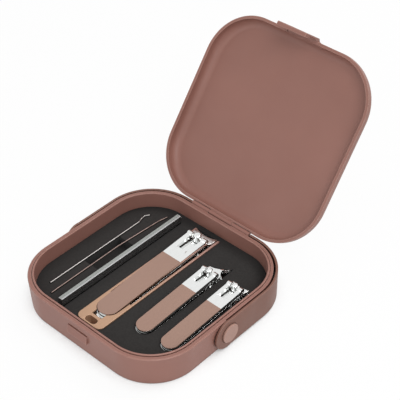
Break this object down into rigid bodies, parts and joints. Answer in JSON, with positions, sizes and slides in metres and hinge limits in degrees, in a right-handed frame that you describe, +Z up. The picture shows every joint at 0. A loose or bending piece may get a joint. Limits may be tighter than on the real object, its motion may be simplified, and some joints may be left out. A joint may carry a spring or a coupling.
{
  "type": "manicure set case",
  "caption": "Square rounded manicure case standing open, with swing handle, latch, foam tray, nail clippers, file and picks.",
  "frame": {"origin": "centre of the base's underside, on the surface it stands on", "axes": "+Z up; +Y towards the hinge side, -Y towards the latch side; +X to the right seen from the latch side"},
  "size_m": [0.11, 0.1742, 0.1125],
  "materials": {
    "case": "satin, soft-touch paint",
    "cap": "satin",
    "foam": "matt",
    "steel": "brushed",
    "chrome": "mirror",
    "catcher": "anodised, satin",
    "cover": "satin paint",
    "grit": "ribbed grit"
  },
  "bodies": {
    "base": {"base_shell": "case", "foam_tray": "foam", "hinge_pin": "steel", "handle_cap_left": "cap", "handle_cap_right": "cap"},
    "carry_handle": {"handle": "case"},
    "lid": {"lid_shell": "case", "latch_pin": "steel"},
    "latch": {"latch_flap": "case"},
    "large_clipper": {"catcher_shell": "catcher", "large_lower_blade": "chrome", "large_upper_blade": "chrome", "large_rivet": "chrome", "large_post": "chrome", "large_cross_pin": "chrome"},
    "large_lever_arm": {"large_lever": "chrome", "large_lever_cover": "cover"},
    "middle_clipper": {"middle_lower_blade": "chrome", "middle_upper_blade": "chrome", "middle_rivet": "chrome", "middle_post": "chrome", "middle_cross_pin": "chrome"},
    "middle_lever_arm": {"middle_lever": "chrome", "middle_lever_cover": "cover"},
    "small_clipper": {"small_lower_blade": "chrome", "small_upper_blade": "chrome", "small_rivet": "chrome", "small_post": "chrome", "small_cross_pin": "chrome"},
    "small_lever_arm": {"small_lever": "chrome", "small_lever_cover": "cover"},
    "file": {"nail_file": "steel", "file_grit": "grit"},
    "hook_tool": {"hook_pick": "steel"},
    "bent_tool": {"bent_pick": "steel"}
  },
  "joints": [
    {"name": "lid_hinge", "type": "hinge", "parent": "base", "child": "lid", "pos_m": [0, 0.0534, 0.018], "axis": [-1, 0, 0], "range_deg": [-126.6, 0]},
    {"name": "handle_pivot", "type": "hinge", "parent": "base", "child": "carry_handle", "pos_m": [0, -0.0007, 0.0095], "axis": [1, 0, 0], "range_deg": [-270, 0]},
    {"name": "latch_hinge", "type": "hinge", "parent": "lid", "child": "latch", "pos_m": [0, 0.11759, 0.10124], "axis": [-1, 0, 0], "range_deg": [0, 75]},
    {"name": "large_clipper_lift", "type": "slide", "parent": "base", "child": "large_clipper", "axis": [0, 0, 1], "range_m": [0, 0.04]},
    {"name": "large_lever_hinge", "type": "hinge", "parent": "large_clipper", "child": "large_lever_arm", "pos_m": [-0.0025, 0.0376, 0.01274], "axis": [-1, 0, 0], "range_deg": [0, 100]},
    {"name": "middle_clipper_lift", "type": "slide", "parent": "base", "child": "middle_clipper", "axis": [0, 0, 1], "range_m": [0, 0.04]},
    {"name": "middle_lever_hinge", "type": "hinge", "parent": "middle_clipper", "child": "middle_lever_arm", "pos_m": [0.0204, 0.0218, 0.01299], "axis": [-1, 0, 0], "range_deg": [0, 100]},
    {"name": "small_clipper_lift", "type": "slide", "parent": "base", "child": "small_clipper", "axis": [0, 0, 1], "range_m": [0, 0.04]},
    {"name": "small_lever_hinge", "type": "hinge", "parent": "small_clipper", "child": "small_lever_arm", "pos_m": [0.0374, 0.0222, 0.01302], "axis": [-1, 0, 0], "range_deg": [0, 100]},
    {"name": "file_lift", "type": "slide", "parent": "base", "child": "file", "axis": [0, 0, 1], "range_m": [0, 0.04]},
    {"name": "hook_tool_lift", "type": "slide", "parent": "base", "child": "hook_tool", "axis": [0, 0, 1], "range_m": [0, 0.04]},
    {"name": "bent_tool_lift", "type": "slide", "parent": "base", "child": "bent_tool", "axis": [0, 0, 1], "range_m": [0, 0.04]}
  ]
}
